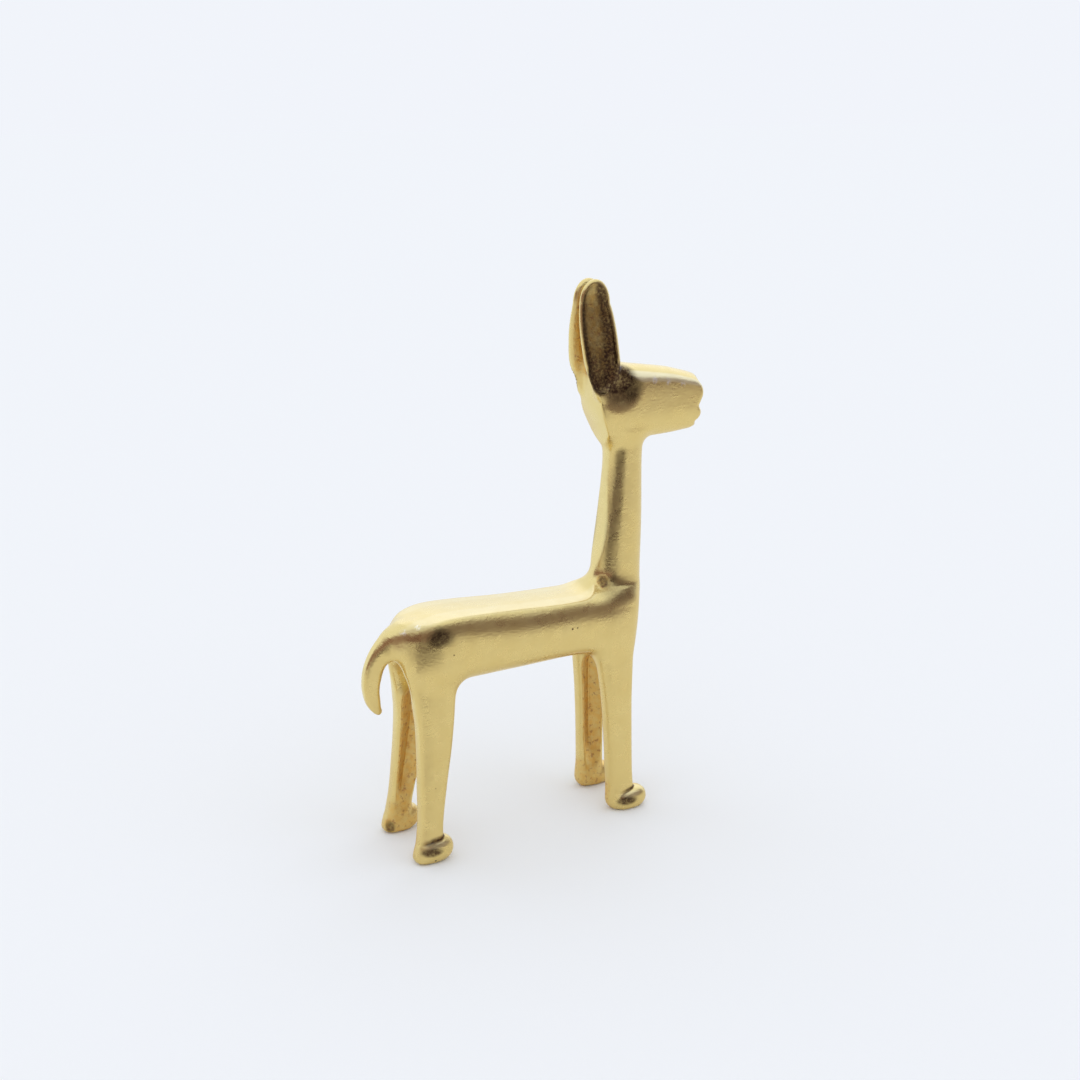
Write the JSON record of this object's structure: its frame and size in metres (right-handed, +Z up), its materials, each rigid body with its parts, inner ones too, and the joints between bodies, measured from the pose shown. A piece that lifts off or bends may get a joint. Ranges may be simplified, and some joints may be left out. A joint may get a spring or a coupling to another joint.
{
  "type": "llama figurine",
  "caption": "Small free-standing gold-plated llama figurine with upright hollowed ears, channelled legs, bean-shaped feet and a curled tail.",
  "frame": {"origin": "on the standing surface, below the middle of the figurine's box", "axes": "+X towards the muzzle, +Y towards the animal's left side, +Z up"},
  "size_m": [0.0415, 0.0114, 0.06],
  "materials": {
    "satin_gold": "satin gold plate over cast brass"
  },
  "bodies": {
    "root": {"torso": "satin_gold", "neck": "satin_gold", "head": "satin_gold", "ear_left": "satin_gold", "ear_right": "satin_gold", "tail": "satin_gold", "fore_leg_left": "satin_gold", "fore_leg_right": "satin_gold", "hind_leg_left": "satin_gold", "hind_leg_right": "satin_gold", "fore_foot_left": "satin_gold", "fore_foot_right": "satin_gold", "hind_foot_left": "satin_gold", "hind_foot_right": "satin_gold"}
  },
  "joints": []
}
